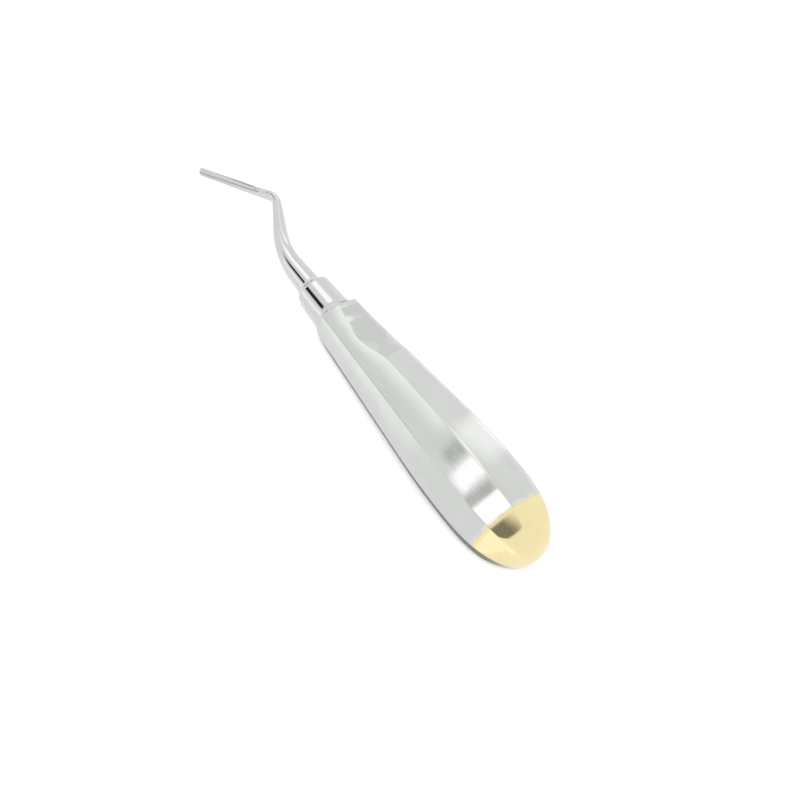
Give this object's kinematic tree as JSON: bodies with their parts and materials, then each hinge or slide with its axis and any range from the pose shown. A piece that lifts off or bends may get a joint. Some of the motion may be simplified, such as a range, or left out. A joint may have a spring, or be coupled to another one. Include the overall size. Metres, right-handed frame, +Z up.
{
  "type": "dental elevator",
  "caption": "Dental root elevator: narrow grooved blade on a bayonet-bent shank, in a neck ferrule on a hollow, pear-shaped eight-sided steel handle with a gold-plated butt.",
  "frame": {"origin": "centre of the footprint's bounding box, on the surface that the tool lies on", "axes": "+X from the blade towards the butt, +Z up from the surface, +Y towards the side that the shank is offset to"},
  "size_m": [0.1492, 0.0244, 0.0255],
  "materials": {
    "satin_steel": "satin, finely brushed stainless steel",
    "polished_steel": "mirror-polished stainless steel",
    "gold_plate": "polished gold plating on steel",
    "plain_steel": "turned, unpolished steel, hidden inside"
  },
  "bodies": {
    "root": {"blade_and_shank": "polished_steel", "neck_ferrule": "polished_steel", "tang_socket": "plain_steel", "tang_pin": "plain_steel", "handle_shell_upper": "satin_steel", "handle_shell_lower": "satin_steel", "cap_joint_ring": "plain_steel", "butt_cap": "gold_plate"}
  },
  "joints": []
}
